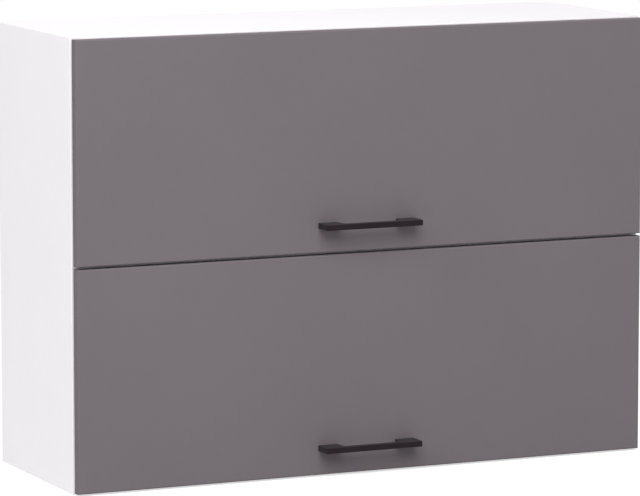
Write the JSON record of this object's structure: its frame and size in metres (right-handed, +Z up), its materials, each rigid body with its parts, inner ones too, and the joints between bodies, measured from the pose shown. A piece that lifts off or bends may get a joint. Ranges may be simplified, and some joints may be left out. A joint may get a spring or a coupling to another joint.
{
  "type": "kitchen wall cabinet",
  "caption": "Wide wall-hung cabinet, open box carcass with a middle shelf, closed by stacked lift-up doors on top hinges with gas struts and bridge handles.",
  "frame": {"origin": "middle of the underside's rear edge, on the plane of the wall that the cabinet hangs on", "axes": "+X to the right as seen from the front, along the width; +Y towards the wall, so the doors face -Y; +Z up"},
  "size_m": [1, 0.3725, 0.72],
  "materials": {
    "white_laminate": "white melamine-faced board with white edging, fine pearl texture",
    "white_back_sheet": "white lacquered thin fibreboard",
    "grey_door_film": "warm grey matt film on fibreboard, white melamine on the back",
    "black_coated_metal": "matt black powder coat",
    "nickel_plated_steel": "nickel plated pressed steel",
    "zinc_plated_steel": "bright zinc plated steel",
    "zinc_casting": "plain zinc die casting",
    "strut_tube_black": "satin black painted tube, with a black moulded end",
    "strut_rod_chrome": "polished rod, with a black moulded end",
    "white_plastic": "white moulded plastic",
    "soft_bumper": "soft translucent grey rubber",
    "beech": "plain fluted beech"
  },
  "bodies": {
    "root": {"left_side_panel": "white_laminate", "right_side_panel": "white_laminate", "top_panel": "white_laminate", "bottom_panel": "white_laminate", "middle_shelf": "white_laminate", "back_panel": "white_back_sheet", "cam_nuts": "zinc_casting", "cam_bolts": "zinc_plated_steel", "wood_dowels": "beech", "left_wall_hanger_body": "white_plastic", "right_wall_hanger_body": "white_plastic", "left_wall_hanger_hook": "zinc_plated_steel", "right_wall_hanger_hook": "zinc_plated_steel", "wall_hanger_covers": "white_plastic", "wall_hanger_adjusting_screws": "zinc_plated_steel", "wall_hanger_fixing_screws": "zinc_plated_steel", "upper_hinge_mounting_plates": "nickel_plated_steel", "lower_hinge_mounting_plates": "nickel_plated_steel", "upper_left_hinge_arm": "nickel_plated_steel", "upper_right_hinge_arm": "nickel_plated_steel", "lower_left_hinge_arm": "nickel_plated_steel", "lower_right_hinge_arm": "nickel_plated_steel", "hinge_plate_screws": "zinc_plated_steel", "hinge_arm_screws": "zinc_plated_steel", "upper_carcass_strut_brackets": "nickel_plated_steel", "lower_carcass_strut_brackets": "nickel_plated_steel", "carcass_bracket_screws": "zinc_plated_steel"},
    "upper_door": {"upper_door_panel": "grey_door_film", "upper_door_handle": "black_coated_metal", "upper_handle_screws": "zinc_plated_steel", "upper_hinge_cups": "nickel_plated_steel", "upper_hinge_cup_screws": "zinc_plated_steel", "upper_hinge_pins": "nickel_plated_steel", "upper_door_strut_brackets": "nickel_plated_steel", "upper_door_bracket_screws": "zinc_plated_steel", "upper_door_bumpers": "soft_bumper"},
    "upper_left_strut_tube": {"upper_left_strut_cylinder": "strut_tube_black"},
    "upper_left_strut_piston": {"upper_left_strut_rod": "strut_rod_chrome"},
    "upper_right_strut_tube": {"upper_right_strut_cylinder": "strut_tube_black"},
    "upper_right_strut_piston": {"upper_right_strut_rod": "strut_rod_chrome"},
    "lower_door": {"lower_door_panel": "grey_door_film", "lower_door_handle": "black_coated_metal", "lower_handle_screws": "zinc_plated_steel", "lower_hinge_cups": "nickel_plated_steel", "lower_hinge_cup_screws": "zinc_plated_steel", "lower_hinge_pins": "nickel_plated_steel", "lower_door_strut_brackets": "nickel_plated_steel", "lower_door_bracket_screws": "zinc_plated_steel", "lower_door_bumpers": "soft_bumper"},
    "lower_left_strut_tube": {"lower_left_strut_cylinder": "strut_tube_black"},
    "lower_left_strut_piston": {"lower_left_strut_rod": "strut_rod_chrome"},
    "lower_right_strut_tube": {"lower_right_strut_cylinder": "strut_tube_black"},
    "lower_right_strut_piston": {"lower_right_strut_rod": "strut_rod_chrome"}
  },
  "joints": [
    {"name": "upper_door_lift", "type": "hinge", "parent": "root", "child": "upper_door", "pos_m": [0, -0.3315, 0.7105], "axis": [-1, 0, 0], "range_deg": [0, 85]},
    {"name": "upper_left_strut_tube_swing", "type": "hinge", "parent": "root", "child": "upper_left_strut_tube", "pos_m": [-0.47, -0.16925, 0.6805], "axis": [-1, 0, 0], "range_deg": [0, 42.6]},
    {"name": "upper_left_strut_rod_swing", "type": "hinge", "parent": "upper_door", "child": "upper_left_strut_piston", "pos_m": [-0.47, -0.3075, 0.54725], "axis": [-1, 0, 0], "range_deg": [-42.6, 0]},
    {"name": "upper_right_strut_tube_swing", "type": "hinge", "parent": "root", "child": "upper_right_strut_tube", "pos_m": [0.47, -0.16925, 0.6805], "axis": [-1, 0, 0], "range_deg": [0, 42.6]},
    {"name": "upper_right_strut_rod_swing", "type": "hinge", "parent": "upper_door", "child": "upper_right_strut_piston", "pos_m": [0.47, -0.3075, 0.54725], "axis": [-1, 0, 0], "range_deg": [-42.6, 0]},
    {"name": "lower_door_lift", "type": "hinge", "parent": "root", "child": "lower_door", "pos_m": [0, -0.3315, 0.3505], "axis": [-1, 0, 0], "range_deg": [0, 85]},
    {"name": "lower_left_strut_tube_swing", "type": "hinge", "parent": "root", "child": "lower_left_strut_tube", "pos_m": [-0.47, -0.16925, 0.3205], "axis": [-1, 0, 0], "range_deg": [0, 42.6]},
    {"name": "lower_left_strut_rod_swing", "type": "hinge", "parent": "lower_door", "child": "lower_left_strut_piston", "pos_m": [-0.47, -0.3075, 0.18725], "axis": [-1, 0, 0], "range_deg": [-42.6, 0]},
    {"name": "lower_right_strut_tube_swing", "type": "hinge", "parent": "root", "child": "lower_right_strut_tube", "pos_m": [0.47, -0.16925, 0.3205], "axis": [-1, 0, 0], "range_deg": [0, 42.6]},
    {"name": "lower_right_strut_rod_swing", "type": "hinge", "parent": "lower_door", "child": "lower_right_strut_piston", "pos_m": [0.47, -0.3075, 0.18725], "axis": [-1, 0, 0], "range_deg": [-42.6, 0]}
  ],
  "couplings": [
    {"joint": "upper_left_strut_tube_swing", "follows": "upper_door_lift", "ratio": 0.5},
    {"joint": "upper_left_strut_rod_swing", "follows": "upper_door_lift", "ratio": -0.5},
    {"joint": "upper_right_strut_tube_swing", "follows": "upper_door_lift", "ratio": 0.5},
    {"joint": "upper_right_strut_rod_swing", "follows": "upper_door_lift", "ratio": -0.5},
    {"joint": "lower_left_strut_tube_swing", "follows": "lower_door_lift", "ratio": 0.5},
    {"joint": "lower_left_strut_rod_swing", "follows": "lower_door_lift", "ratio": -0.5},
    {"joint": "lower_right_strut_tube_swing", "follows": "lower_door_lift", "ratio": 0.5},
    {"joint": "lower_right_strut_rod_swing", "follows": "lower_door_lift", "ratio": -0.5}
  ]
}
